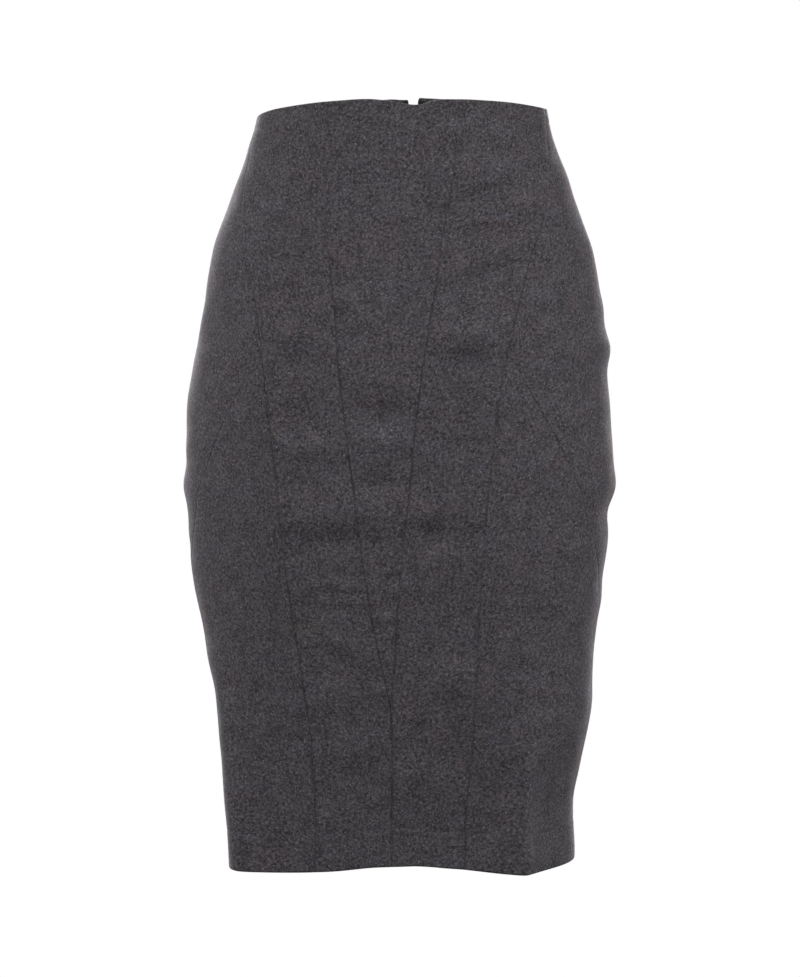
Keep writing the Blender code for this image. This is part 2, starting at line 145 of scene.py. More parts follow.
# squareness 2 is an ellipse; shift moves a section sideways, and twist turns the cloth on it
Section = namedtuple(
    "Section",
    "height half_width front_depth back_depth square_right square_left square_back shift twist",
)
FIGURE = [Section(*row) for row in (
    (-600, 133.6, 88, 99, 4.2, 2.15, 3.1, 2.4, 0),
    (-550, 135.5, 89, 101, 3.7, 2.15, 2.9, 1, 0.7),
    (-500, 143.9, 93, 104, 3.1, 2.3, 2.7, 2.4, 0.4),
    (-450, 150.4, 98, 109, 2.7, 2.35, 2.5, 1.8, -0.2),
    (-400, 158.2, 103, 115, 2.4, 2.35, 2.4, -1.6, -0.1),
    (-350, 166.2, 108, 122, 2.3, 2.3, 2.3, -2.8, -0.3),
    (-300, 171.2, 112, 127, 2.2, 2.2, 2.2, -2, -0.6),
    (-250, 170.2, 114, 129, 2.15, 2.15, 2.15, -2, -1),
    (-200, 164.8, 114, 126, 2.1, 2.1, 2.1, -1.4, -1.2),
    (-150, 158.2, 111, 119, 2.05, 2.05, 2.05, 0.7, -1.3),
    (-105, 150.6, 105, 111, 2, 2, 2, 0, -1.2),
    (-67, 137.6, 99, 103, 2, 2, 2, 0.6, -0.6),
    (-30, 123.9, 92, 96, 2, 2, 2, 1, -0.1),
    (0, 115.4, 86, 90, 2, 2, 2, 1.2, 0),
    (30, 112.5, 85, 88, 2, 2, 2, 1.2, 0),
)]
Edge = namedtuple("Edge", "angle waist hem")
EDGES = [Edge(*row) for row in (
    (-180, 24, -594),
    (-150, 19.6, -594),
    (-120, 10.2, -594),
    (-90, 0, -594.5),
    (-60, 1.6, -595),
    (-30, 3.6, -593),
    (-8, 3.8, -589),
    (-2, 2.7, -588.5),
    (5, 0.9, -588),
    (12, -0.7, -587.6),
    (16, -0.2, -587.8),
    (20, 2.2, -588.2),
    (25, 3.5, -589),
    (32, 4, -590),
    (52, 4, -594.8),
    (90, 4, -592),
    (120, 12.6, -590),
    (150, 20, -592),
    (180, 24, -594),
)]
# Seams of the front, the same on both sides: the wedge's edge, and the long outer seam
WEDGE_TIP = -465.0
Seam = namedtuple("Seam", "height wedge outer")
SEAMS = [Seam(*row) for row in (
    (-600, 0, 34.6),
    (-560, 0, 34.4),
    (-500, 0, 34.8),
    (WEDGE_TIP, 0, 35.4),
    (-430, 3.2, 36.2),
    (-400, 5.2, 36.9),
    (-350, 8.1, 37.7),
    (-300, 10.8, 38.6),
    (-250, 13.4, 41.1),
    (-200, 16.4, 44.6),
    (-170, 18.1, 47.6),
    (-140, 20.6, 52),
    (-109, 23.6, 58.3),
    (-70, 27.4, 67.5),
    (-34, 31, 76),
    (0, 33.8, 84),
    (30, 34.6, 87),
)]
# Soft upright ridges where the front turns into the side, and bulges of slipped cloth
Ridge = namedtuple("Ridge", "top_angle hem_angle top_height full_height spread lift")
RIDGES = [Ridge(-73, -57, -350, -590, 10, 10.5), Ridge(58, 53, -430, -590, 9, 15.0)]
Bulge = namedtuple("Bulge", "angle height spread half_height lift")
BULGES = [Bulge(*row) for row in (
    (92, -46, 26, 15, 1.8),
    (92, -152, 26, 12, 1.5),
    (93, -186, 26, 14, 4.2),
    (92, -229, 24, 15, 0.9),
    (93, -294, 26, 13, 1.6),
    (92, -318, 26, 13, -3.2),
    (92, -387, 24, 14, 1.9),
    (90, -478, 26, 25, 2.4),
    (86, -584, 30, 28, 3),
    (-90, -226, 26, 18, 1.6),
    (-90, -277, 24, 9, -1.6),
    (-90, -296, 24, 10, 1.8),
    (-92, -322, 24, 14, -1.2),
    (-90, -342, 24, 8, -0.9),
    (-90, -430, 24, 12, 1.3),
)]
# Creases: where each lies, how far it runs to either side and how wide it is, its tilt up
# towards the wearer's left, its height as a ridge, and its fall as a fold that faces down
Crease = namedtuple("Crease", "angle height reach width tilt ridge fall")
CREASES = [Crease(*row) for row in (
    # front, wearer's left: drag lines from the waist to the side, and the fold under the belly
    (25, -46, 17, 13, 12, 0, -6.1),
    (43, -63.5, 31, 8.5, 18, 0, 7.6),
    (40, -95, 23, 7, 7, 0, 5.2),
    (42, -122.5, 32, 9, 24, 0, 7.3),
    (66, -44, 16, 7, 8, 0, 2.5),
    (34, -181, 25, 15, 0, 8.7, 0),
    (34, -217, 15, 10, 3, 1.9, 0),
    (65, -205, 14, 17, 10, 0, 2.2),
    # front, wearer's right
    (-34, -179, 15, 8, -3, 3.8, 0),
    (-31, -242, 19, 14, 2, -3.3, 0),
    (-16, -151, 10, 8, 0, 2.4, 0),
    (-46, -36, 24, 8, -10, 0, 1.8),
    (-38, -92, 20, 8, -6, 0, 1.7),
    (-27, -264, 21, 9, 2, 1.6, 0),
    (-39, -486, 13, 6, 6, 0, 1.3),
    # across the middle: the cloth caught between the hips and the thighs
    (-5, -211, 13, 8, 0, 1.9, 0),
    (1, -241.5, 24, 12, 0, -5.9, 0),
    (3, -259, 13, 8, 0, 2.4, 0),
    (-1, -293, 15, 8, -3, -2.4, 0),
    (-16, -316, 47, 14, 1, 3.7, 0),
    (-22, -304, 40, 5.5, 1, 0.9, 0),
    (15, -306, 20, 5, -1, 0.5, 0),
    (-14, -339, 42, 11, 1, -1.6, 0),
    (18, -313, 19, 11, -4, 1.9, 0),
    (24, -335, 17, 12, 2, -3, 0),
    (26, -347, 14, 6.5, 0, 1.7, 0),
    (-20, -374, 29, 5, 1, 0, 1.7),
    (-18, -385, 27, 4.5, -1, 0, 1.6),
    (-16, -415, 17, 9, 0, 2.9, 0),
    (3.5, -361, 10, 5, 5, 0, 1.3),
    (3, -376, 9, 5, 4, 0, 0.8),
    (0.5, -394.5, 10, 5, 2, 1.7, 0),
    (1, -407, 8, 4.5, 0, 1, 0),
    (28, -440, 17, 14, 3, 2.4, 0),
    (-25, -453, 13, 12, 6, 2.1, 0),
    (-3, -448, 7, 5, 0, 0, -0.9),
    (-3, -468, 6, 4, 0, 0, -0.8),
    (12, -476, 11, 6, -5, 0, 1.5),
    # towards the hem
    (-16, -495.5, 28, 10, 18, 2.2, 0),
    (9, -517, 19, 13, -3, 2.1, 0),
    (29, -520, 11, 9, -8, 1, 0),
    (-2, -545, 10, 8, 0, -1.2, 0),
    (-30, -554, 10, 7, 0, 1, 0),
    (-20, -579, 14, 8, 0, 1.2, 0),
    (14, -556, 46, 24, -4, 0, 3),
    (-40, -566, 20, 14, 4, 0, 1.5),
    (52.5, -535, 62, 8, 90, 2.9, 0),
    (-48.5, -420, 44, 5, 90, 1.2, 0),
    # wearer's left side, behind the side seam
    (112, -56, 24, 8, -14, 0, 1.8),
    (106, -102, 18, 9, 10, 0, 1.2),
    (114, -256, 22, 9, 6, 0, 1.7),
    (113, -336, 24, 10, -6, 1.9, 0),
    (108, -392, 18, 8, 12, 0, 1.2),
    (116, -446, 24, 10, 8, 1.6, 0),
    (108, -512, 18, 9, -10, 0, 1.3),
    # wearer's right side, behind the side seam
    (-108, -70, 22, 8, 12, 0, 1.7),
    (-116, -152, 24, 8, -8, 0, 1.3),
    (-108, -262, 20, 10, -8, 1.4, 0),
    (-114, -338, 24, 11, 6, 1.9, 0),
    (-108, -406, 20, 8, -12, 0, 1.3),
    (-115, -470, 24, 10, -6, 0, 1.6),
    (-106, -540, 16, 9, 10, 1.1, 0),
    # back: the hollow of the waist, the zip's pull, the seat and the backs of the thighs
    (128, -52, 34, 8, -12, 0, 2.7),
    (150, -78, 30, 8, -8, 0, 2.2),
    (122, -98, 22, 7, -16, 0, 2),
    (-130, -60, 32, 8, 14, 0, 2.8),
    (-152, -90, 26, 7, 7, 0, 2),
    (-118, -116, 24, 8, 12, 0, 1.8),
    (168, -118, 18, 7, -5, 0, 1.5),
    (-166, -140, 16, 7, 8, 0, 1.4),
    (172, -197, 15, 6, -24, 0, 2),
    (-171, -203, 17, 6, 20, 0, 2.1),
    (145, -232, 24, 12, 4, 2.1, 0),
    (-140, -250, 22, 12, -5, 2, 0),
    (158, -318, 42, 12, 6, 4.2, 0),
    (154, -343, 38, 11, 4, -3.4, 0),
    (-156, -326, 40, 12, -7, 3.9, 0),
    (-150, -352, 34, 10, -5, -2.8, 0),
    (132, -368, 22, 8, 14, 0, 2),
    (-128, -384, 24, 8, -10, 0, 1.7),
    (165, -394, 22, 9, -4, 2.1, 0),
    (-168, -412, 20, 8, 6, 0, 1.5),
    (150, -440, 26, 10, 8, 2.5, 0),
    (-146, -462, 26, 10, -12, 2.5, 0),
    (126, -498, 20, 9, -8, 0, 1.7),
    (-122, -520, 20, 9, 8, 1.5, 0),
    (162, -528, 50, 8, 84, 2, 0),
    (-160, -540, 42, 8, 95, 1.7, 0),
    (140, -560, 18, 8, 0, 1.4, 0),
    (-138, -572, 16, 7, 0, 0, 1.3),
)]


def smooth_column(table, key, column, at):
    """A column's value at a height or an angle, on a smooth curve through the rows."""
    keys = np.array([getattr(row, key) for row in table], float)
    values = np.array([getattr(row, column) for row in table], float)
    slopes = np.gradient(values, keys)
    at = np.clip(at, keys[0], keys[-1])
    row = np.clip(np.searchsorted(keys, at, side="right") - 1, 0, len(keys) - 2)
    span = keys[row + 1] - keys[row]
    t = (at - keys[row]) / span
    from_rows = values[row] * (1 + 2 * t) * (1 - t) ** 2 + values[row + 1] * t * t * (3 - 2 * t)
    from_slopes = slopes[row] * t * (1 - t) ** 2 - slopes[row + 1] * t * t * (1 - t)
    return from_rows + span * from_slopes


def turn_between(angle, centre):
    return (angle - centre + 180.0) % 360.0 - 180.0


def rise(x):
    """Smooth step from 0 to 1."""
    x = np.clip(x, 0.0, 1.0)
    return x * x * (3 - 2 * x)


def fold_lift(angle, height):
    """How far the ridges and bulges push the figure out."""
    lift = np.zeros(np.broadcast(angle, height).shape)
    for ridge in RIDGES:
        share = (ridge.top_height - height) / (ridge.top_height - ridge.full_height)
        centre = ridge.top_angle + (ridge.hem_angle - ridge.top_angle) * np.clip(share, 0, 1)
        away = turn_between(angle, centre) / ridge.spread
        lift = lift + ridge.lift * rise(share) * np.exp(-np.abs(away) ** 1.6)
    for bulge in BULGES:
        across = turn_between(angle, bulge.angle) / bulge.spread
        down = (height - bulge.height) / bulge.half_height
        lift = lift + bulge.lift * np.exp(-across * across - down * down)
    return lift


def figure_point(angle, height):
    """Point of the cloth's outer face, without its creases."""
    level = {c: smooth_column(FIGURE, "height", c, height) for c in Section._fields[1:]}
    angle = angle + level["twist"]
    side = np.sin(np.radians(angle))
    ahead = np.cos(np.radians(angle))
    depth = np.where(ahead > 0, level["front_depth"], level["back_depth"])
    front_square = np.where(side < 0, level["square_right"], level["square_left"])
    square = np.where(ahead > 0, front_square, level["square_back"])
    wide = (np.abs(side) / level["half_width"]) ** square
    deep = (np.abs(ahead) / depth) ** square
    radius = (wide + deep) ** (-1.0 / square) + fold_lift(angle, height)
    return np.stack([radius * side + level["shift"], -radius * ahead, height + 0.0 * side], -1)


def unit(vectors):
    return vectors / np.linalg.norm(vectors, axis=-1, keepdims=True)


def figure_normal(angle, height):
    step_round = figure_point(angle + 1.0, height) - figure_point(angle - 1.0, height)
    step_up = figure_point(angle, height + 3.0) - figure_point(angle, height - 3.0)
    return unit(np.cross(step_round, step_up))


def millimetres_per_degree(angle, height):
    step = figure_point(angle + 0.5, height) - figure_point(angle - 0.5, height)
    return np.linalg.norm(step, axis=-1)


END_FADE = 2.1
# The cloth's slight unevenness: waves of many lengths, most of them lying across
WAVE_COUNT = 56
SHORTEST_WAVE = 24.0
WAVE_RANGE = 6.0
WAVE_RISE = 0.0011
rolls = np.random.default_rng(11)
WAVES = []
for _ in range(WAVE_COUNT):
    long = SHORTEST_WAVE * WAVE_RANGE ** rolls.random()
    heading = rolls.normal(size=3) * (0.55, 0.55, 1.25)
    heading = heading / np.linalg.norm(heading)
    WAVES.append((heading * 2 * math.pi / long, rolls.random() * 2 * math.pi, WAVE_RISE * long))


def crease_lift(angle, height, point):
    """How far the creases and the cloth's slight unevenness stand off the figure."""
    lift = np.zeros(angle.shape)
    for crease in CREASES:
        run = turn_between(angle, crease.angle)
        run = run * millimetres_per_degree(crease.angle, crease.height)
        drop = height - crease.height
        turn = math.radians(crease.tilt)
        along = (run * math.cos(turn) + drop * math.sin(turn)) / crease.reach
        off = (drop * math.cos(turn) - run * math.sin(turn)) / crease.width
        fade = np.exp(-np.abs(along) ** END_FADE - off * off)
        lift += fade * (crease.ridge + crease.fall * off)
    for heading, phase, tall in WAVES:
        lift += tall * np.sin(point @ heading + phase)
    return lift


def wedge_seam(height):
    keys = [row.height for row in SEAMS]
    return np.maximum(np.interp(height, keys, [row.wedge for row in SEAMS]), 0.0)


def outer_seam(height):
    return smooth_column(SEAMS, "height", "outer", height)


EDGE_STEPS = (0.0, 0.3, 0.7, 1.3, 2.4, 4.4)
TURN_STEPS = (0.0, 0.4, 0.9, 1.5, 2.6, 4.6, 7.0, 9.4, 10.9, 11.5, 12.1, 13.4)
HEM_STEPS = (
    0.0, 0.4, 0.9, 1.5, 2.6, 4.6, 7.0, 9.5, 12.0, 14.5, 17.0, 19.5, 22.0, 24.5, 27.0, 29.0, 29.8,
    30.6, 32.2,
)
LEVELS = np.linspace(-605.0, 35.0, 129)
SPOKES = np.linspace(0, 1, 17)[:, None]
FIRST_GUESS = -300.0
FITTINGS = 9


def stops(near, cells, far):
    """Grid lines at set distances from both edges, with even cells between them."""
    near, far = np.array(near), np.array(far)
    even = np.linspace(0, 1, cells + 1)[1:-1]
    fixed = np.concatenate([near, np.full(len(even), near[-1]), near[-1] + far[-1] - far[::-1]])
    share = np.concatenate([0 * near, even, 1 + 0 * far])
    return fixed, share, near[-1] + far[-1]


def stop_shares(lines, length):
    """The grid lines as shares of a length, drawn together where it is short."""
    fixed, share, ends = lines
    shrink = np.minimum(1.0, 0.8 * length / ends)
    return (shrink * fixed + share * (length - shrink * ends)) / length


Grid = namedtuple("Grid", "angle height start end top bottom")


def lay_out(start_seam, end_seam, top_line, bottom_line, columns, rows, mirrored):
    """A panel's grid: cloth angle and height of each point, and its distance from each edge."""
    side = -1.0 if mirrored else 1.0
    starts, ends = start_seam(LEVELS), end_seam(LEVELS)
    spokes = figure_point(side * (starts + SPOKES * (ends - starts)), LEVELS + 0 * SPOKES)
    widths = np.maximum(np.linalg.norm(np.diff(spokes, axis=0), axis=-1).sum(0), 0.4)
    columns = tuple(np.array(c)[None, :] if np.ndim(c) else c for c in columns)
    rows = tuple(np.array(r)[:, None] if np.ndim(r) else r for r in rows)
    height = np.full((rows[0].shape[0], columns[0].shape[1]), FIRST_GUESS)
    for _ in range(FITTINGS):
        width = np.interp(height, LEVELS, widths)
        across = stop_shares(columns, width)
        start = start_seam(height)
        angle = side * (start + across * (end_seam(height) - start))
        top, bottom = top_line(angle, across), bottom_line(angle, across)
        length = np.maximum(top - bottom, 1.0)
        down = stop_shares(rows, length)
        height = top - down * length
    back_across, back_up = 1 - across, 1 - down
    return Grid(angle, height, across * width, back_across * width, down * length, back_up * length)


def waist_line(angle, across):
    return smooth_column(EDGES, "angle", "waist", angle)


def hem_line(angle, across):
    return smooth_column(EDGES, "angle", "hem", angle)


def pressed(distance, width):
    """1 on an allowance or turning of a width beside an edge, and 0 past it."""
    return 1.0 - rise((distance - width + 0.35) / 0.7)


def bell(distance, spread):
    """1 at no distance, falling off smoothly on both sides."""
    return np.exp(-(distance / spread) ** 2)


def rolled(distance, radius):
    """How far a rounded edge has dropped towards the middle of the cloth, from 0 to 1."""
    reach = 1.0 - np.clip(distance / radius, 0.0, 1.0)
    return 1.0 - np.sqrt(1.0 - reach * reach)


# The upper seams are pressed flatter, and start to sink at these heights on the right and the left
SINK_HEIGHTS = (-95.0, -50.0)
SINK_RUN = 90.0
SEAM_DEPTH = 0.20
SEAM_SPREAD = 2.4
SHADE_SPREAD = 0.95
ALLOWANCE_RISE = 0.10
TURN_RISE = 0.12
STITCH_DEPTH = 0.30
STITCH_SPREAD = 1.1
FOLD_SPREAD = 2.5


def edge_relief(grid, seams, turns):
    """Outer face's height beside sewn seams and turned edges, the edge roll and the thickness.

    seams holds each seam's distance and how far it is sunk; turns holds distances and widths.
    """
    relief, drop, shade = np.zeros((3, *grid.angle.shape))
    thick = CLOTH + 0 * relief
    middle = 0.5 * thick
    for distance, sunk in seams:
        high = np.where(grid.angle < 0, *SINK_HEIGHTS)
        sunk = sunk * (0.35 + 0.65 * rise((high - grid.height) / SINK_RUN))
        along = grid.height + 0.4 * grid.angle
        pucker = np.sin(along / 2.3 + 2.0 * np.sin(along / 19.0))
        pucker = pucker * (0.5 + 0.5 * np.sin(along / 31.0))
        relief += sunk * (0.06 * pucker - SEAM_DEPTH) * bell(distance, SEAM_SPREAD)
        # Painted shade: the colour is darkened along the seam, for the shade that falls in its
        # groove
        faint = 0.68 + 0.2 * pucker + 0.27 * np.sin(along / 13.0 + 1.5 * np.sin(along / 37.0))
        shade = np.maximum(shade, sunk * faint * bell(distance, SHADE_SPREAD))
        relief += ALLOWANCE_RISE * pressed(distance, ALLOWANCE + 3.0) * rise(distance / 5.0)
        drop = np.maximum(drop, rolled(distance, 0.35 + 0.75 * sunk))
        middle = middle * (1.0 - 0.75 * (1.0 - sunk) * bell(distance, 1.6))
        thick = np.maximum(thick, CLOTH + ALLOWANCE_CLOTH * pressed(distance, ALLOWANCE))
    for distance, width in turns:
        fold = 0.5 * (CLOTH + ALLOWANCE_CLOTH)
        stitched = bell(distance - width + 0.4, STITCH_SPREAD)
        relief += TURN_RISE * pressed(distance, width) - STITCH_DEPTH * stitched
        drop = np.maximum(drop, rolled(distance, fold))
        middle += (fold - middle) * bell(distance, FOLD_SPREAD)
        thick = thick + ALLOWANCE_CLOTH * pressed(distance, width)
    return relief, drop, thick, middle, shade


def piece_of_points(name, points, faces):
    """A smooth piece from points in metres and faces."""
    mesh = bpy.data.meshes.new(name)
    mesh.from_pydata(points, [], faces)
    mesh.shade_smooth()
    piece = bpy.data.objects.new(name, mesh)
    scene.collection.objects.link(piece)
    return piece


inner_faces = {}
# Each piece, and the inside of each, lies on a part of the cloth of its own, for the marl
PIECE_STEP = np.array((0.37, 0.91))
INSIDE_STEP = (0.0, 0.7)


def shell_on_figure(name, grid, relief, drop, thick, middle, shade, number):
    """A closed thin shell over a grid, whose two faces meet in a rounded edge."""
    if grid.angle[1, 1] > grid.angle[1, -2]:
        grid = Grid(*(field[:, ::-1] for field in grid))
        fields = (relief, drop, thick, middle, shade)
        relief, drop, thick, middle, shade = (field[:, ::-1] for field in fields)
    face = figure_point(grid.angle, grid.height)
    outward = figure_normal(grid.angle, grid.height)
    outer = face + outward * (relief - middle * drop)[..., None]
    inner = face + outward * (relief - middle * drop - thick * (1 - drop))[..., None]
    inner_faces[name] = (grid, inner, outward)
    rows, columns = grid.angle.shape
    outer_index = np.arange(rows * columns).reshape(rows, columns)
    inner_index = outer_index.copy()
    inner_count = (rows - 2) * (columns - 2)
    inner_index[1:-1, 1:-1] = rows * columns + np.arange(inner_count).reshape(rows - 2, columns - 2)
    points = np.vstack([outer.reshape(-1, 3), inner[1:-1, 1:-1].reshape(-1, 3)]) * MM
    quads = []
    for index, order in ((outer_index, (0, 1, 2, 3)), (inner_index, (3, 2, 1, 0))):
        corners = (index[:-1, :-1], index[1:, :-1], index[1:, 1:], index[:-1, 1:])
        quads.append(np.stack([corners[k] for k in order], -1).reshape(-1, 4))
    quads = np.vstack(quads)
    shell = piece_of_points(name, points, quads)
    flat = np.stack([0.5 * (grid.start - grid.end), grid.height], -1) * MM
    flat = flat + PIECE_STEP * number
    flat = np.vstack([flat.reshape(-1, 2), flat[1:-1, 1:-1].reshape(-1, 2) + INSIDE_STEP])
    shell.data.uv_layers.new(name="cloth").data.foreach_set("uv", flat[quads.ravel()].ravel())
    # The painted shade along the seams and the dart, kept on the points for the material
    dark = np.concatenate([shade.ravel(), shade[1:-1, 1:-1].ravel()])
    shell.data.attributes.new("seam_shade", "FLOAT", "POINT").data.foreach_set("value", dark)
    return shell


def cloth_shell(name, number, grid, seams, turns, dart=0.0):
    """A panel's shell, with its creases, sewn edges, pressed allowances and any sunk dart."""
    relief, drop, thick, middle, shade = edge_relief(grid, seams, turns)
    relief += crease_lift(grid.angle, grid.height, figure_point(grid.angle, grid.height))
    relief -= dart
    # Painted shade in the dart's groove, added to the painted shade of the seams
    shade = np.maximum(shade, 1.5 * dart)
    return shell_on_figure(name, grid, relief, drop, thick, middle, shade, number)


def new_material(name, **values):
    """A material, its node tree and its surface shader."""
    made = bpy.data.materials.new(name)
    made.use_nodes = True
    tree = made.node_tree
    return made, tree, feed(tree, tree.nodes["Principled BSDF"], **values)


def worked(tree, operation, *values):
    """A sum on numbers and sockets."""
    node = tree.nodes.new("ShaderNodeMath")
    node.operation = operation
    for socket, value in zip(node.inputs, values):
        fill(tree, socket, value)
    return node.outputs["Value"]


def blended(tree, factor, one, other, blend="MIX"):
    """Two colours mixed by a factor."""
    node = tree.nodes.new("ShaderNodeMix")
    node.data_type = "RGBA"
    node.blend_type = blend
    return feed(tree, node, A=one, B=other, Factor=factor).outputs["Result"]


def raise_bump(tree, shader, height, strength, distance):
    bump = add_node(tree, "ShaderNodeBump", Height=height, Strength=strength, Distance=distance)
    feed(tree, shader, Normal=bump.outputs["Normal"])


# The marl's fibres: turn on the cloth, stretch, fineness, place and detail of each set
STRANDS = ((28, 2.0, 660, 1.3), (-37, 2.0, 660, 4.1), (84, 2.1, 600, 7.7), (3, 1.6, 570, 5.5))
HAIRS = ((17, 9.0, 2800, 2.2, 1.0), (-52, 10.0, 2600, 8.3, 1.0), (75, 9.0, 2900, 6.1, 1.0))
DARK_FIBRE = (0.0276, 0.0250, 0.0281, 1)
PALE_FIBRE = (0.1240, 0.1127, 0.1246, 1)
WHITE_HAIR = (0.27, 0.26, 0.275, 1)
BLACK_HAIR = (0.014, 0.013, 0.015, 1)
FLECK = (0.235, 0.222, 0.24, 1)
# Colour of the painted shade along the seams and the dart
PAINTED_SEAM_SHADE = (0.012, 0.011, 0.013, 1)
WARM_TINT = (1.018, 1.0, 0.984, 1)
COOL_TINT = (0.984, 1.002, 1.020, 1)
ROSY_TINT = (1.075, 0.975, 1.0, 1)
BLUISH_TINT = (1.01, 1.05, 1.11, 1)
# Gain of the painted rim highlight, where the cloth turns edge-on
PAINTED_RIM_GAIN = (2.50, 2.38, 2.44, 1)


def wool_flannel():
    """Charcoal marl: dark and pale fibres of many greys, felted together, with a short nap."""
    made, tree, shader = new_material(
        "charcoal_marl_flannel", Roughness=0.94, Specular_IOR_Level=0.22, Sheen_Weight=0.50,
        Sheen_Roughness=0.28, Sheen_Tint=(0.82, 0.80, 0.84, 1),
    )
    place = add_node(tree, "ShaderNodeUVMap")
    place.uv_map = "cloth"

    def fibres(turn, stretch, scale, seed, detail=2.0):
        """Noise drawn out along one direction of the cloth."""
        lie = add_node(
            tree, "ShaderNodeMapping", Vector=place.outputs["UV"], Scale=(stretch, 1, 1),
            Rotation=(0, 0, math.radians(turn)), Location=(seed, 0.3 * seed, 0),
        )
        lie.vector_type = "TEXTURE"
        return add_node(
            tree, "ShaderNodeTexNoise", Vector=lie.outputs["Vector"], Scale=scale, Detail=detail,
            Roughness=0.55,
        ).outputs["Fac"]

    def ramp(value, low, high):
        node = add_node(tree, "ShaderNodeMapRange", Value=value, From_Min=low, From_Max=high)
        node.interpolation_type = "SMOOTHSTEP"
        return node.outputs["Result"]

    def scattered(grey, noise, low, high, share, colour):
        """The grey with a colour laid over it where the noise runs from low to high."""
        return blended(tree, worked(tree, "MULTIPLY", ramp(noise, low, high), share), grey, colour)

    strands = fibres(*STRANDS[0])
    for strand in STRANDS[1:]:
        strands = worked(tree, "ADD", strands, fibres(*strand))
    mottle = worked(tree, "ADD", fibres(0, 1.0, 260, 3.3), fibres(0, 1.0, 75, 9.9, 1.0))
    pale = ramp(worked(tree, "MULTIPLY_ADD", mottle, 0.51, strands), 2.12, 3.13)
    grey = blended(tree, pale, DARK_FIBRE, PALE_FIBRE)
    hairs = [fibres(*hair) for hair in HAIRS]
    for noise in hairs:
        grey = scattered(grey, noise, 0.61, 0.70, 0.30, WHITE_HAIR)
        grey = scattered(grey, noise, 0.39, 0.29, 0.34, BLACK_HAIR)
    grey = scattered(grey, fibres(40, 1.5, 700, 2.9), 0.60, 0.70, 0.75, FLECK)
    tint = blended(tree, ramp(fibres(10, 1.6, 24, 4.7, 3.0), 0.36, 0.64), WARM_TINT, COOL_TINT)
    tint = blended(tree, ramp(fibres(0, 1.4, 46, 9.2), 0.58, 0.72), tint, ROSY_TINT)
    tint = blended(tree, ramp(fibres(0, 2.4, 60, 11.6), 0.57, 0.70), tint, BLUISH_TINT)
    grey = blended(tree, 1.0, grey, tint, "MULTIPLY")
    # Painted highlight: the base colour is brightened where the cloth turns edge-on, standing in
    # for light caught by the nap at the rims
    edge_on = add_node(tree, "ShaderNodeLayerWeight", Blend=0.5)
    nap = ramp(edge_on.outputs["Facing"], 0.56, 0.98)
    grey = blended(tree, nap, grey, blended(tree, 1.0, grey, PAINTED_RIM_GAIN, "MULTIPLY"))
    # Painted shade: the base colour is darkened along the seams and the dart, for the shade in
    # their grooves
    near_seam = add_node(tree, "ShaderNodeAttribute")
    near_seam.attribute_name = "seam_shade"
    in_seam = worked(tree, "MULTIPLY", near_seam.outputs["Fac"], 0.44)
    feed(tree, shader, Base_Color=blended(tree, in_seam, grey, PAINTED_SEAM_SHADE))
    raised = worked(tree, "ADD", worked(tree, "MAXIMUM", hairs[0], hairs[1]), hairs[2])
    raise_bump(tree, shader, worked(tree, "MULTIPLY_ADD", raised, 0.35, strands), 0.40, 0.00025)
    return made


flannel = wool_flannel()


def sew_in(shell, node):
    """Gives a panel its flannel and its body, in place of the CAD solid."""
    shell.data.materials.append(flannel)
    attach(shell, "skirt")
    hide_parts(node)


grid = lay_out(
    lambda height: -wedge_seam(height), wedge_seam, waist_line,
    lambda angle, across: WEDGE_TIP + 3.0 + 0 * angle,
    stops(EDGE_STEPS, 30, EDGE_STEPS), stops(TURN_STEPS, 198, (0, 0.6)), False,
)
wedge = cloth_shell(
    "centre_wedge", 1, grid, [(grid.start, 1.0), (grid.end, 1.0)], [(grid.top, WAIST_TURN)]
)
sew_in(wedge, "front_centre")


# Inner panels: one on each side of the wedge, of the same flannel, from waist to hem. They meet
# in a centre front seam below the wedge's point, and the hem is turned up and caught inside.
SIDES = (("left", False), ("right", True))

for side, mirrored in SIDES:
    grid = lay_out(
        wedge_seam, outer_seam, waist_line, hem_line,
        stops(EDGE_STEPS, 34, EDGE_STEPS), stops(TURN_STEPS, 244, HEM_STEPS), mirrored,
    )
    inner_panel = cloth_shell(
        f"inner_panel_{side}", 2 + mirrored, grid, [(grid.start, 1.0), (grid.end, 0.9)],
        [(grid.top, WAIST_TURN), (grid.bottom, HEM_TURN)],
    )
    sew_in(inner_panel, f"front_inner_{side}")


# Hip panels: above the slanting seam on each side, a fan from a narrow top at the waist down to
# the slant, sewn to the inner panel in front and to the back piece at the side.
SIDE_SEAM = 91.0
Slant = namedtuple("Slant", "height angle")
SLANT = [Slant(*row) for row in (
    (-405, 91),
    (-352, 78.4),
    (-321, 72),
    (-285, 65.5),
    (-247, 57.8),
    (-216, 51.2),
    (-190, 45.4),
)]
SLANT_STEEPNESS = 2.0


def side_seam(height):
    return SIDE_SEAM + 0.0 * height


def slant_line(angle, across):
    """Height at which the slanting seam crosses each column of the side."""
    heights = np.linspace(SLANT[0].height, SLANT[-1].height, 200)
    angles = smooth_column(SLANT, "height", "angle", heights)
    outer = outer_seam(heights)
    columns = (angles - outer) / (SIDE_SEAM - outer)
    return np.interp(across, columns[::-1], heights[::-1])


STEEP_STEPS = tuple(SLANT_STEEPNESS * step for step in EDGE_STEPS)

for side, mirrored in SIDES:
    grid = lay_out(
        outer_seam, side_seam, waist_line, slant_line,
        stops(EDGE_STEPS, 52, EDGE_STEPS), stops(TURN_STEPS, 134, STEEP_STEPS), mirrored,
    )
    hip_panel = cloth_shell(
        f"hip_panel_{side}", 4 + mirrored, grid,
        [(grid.start, 0.9), (grid.end, 0.8), (grid.bottom / SLANT_STEEPNESS, 0.4)],
        [(grid.top, WAIST_TURN)],
    )
    sew_in(hip_panel, f"front_hip_{side}")


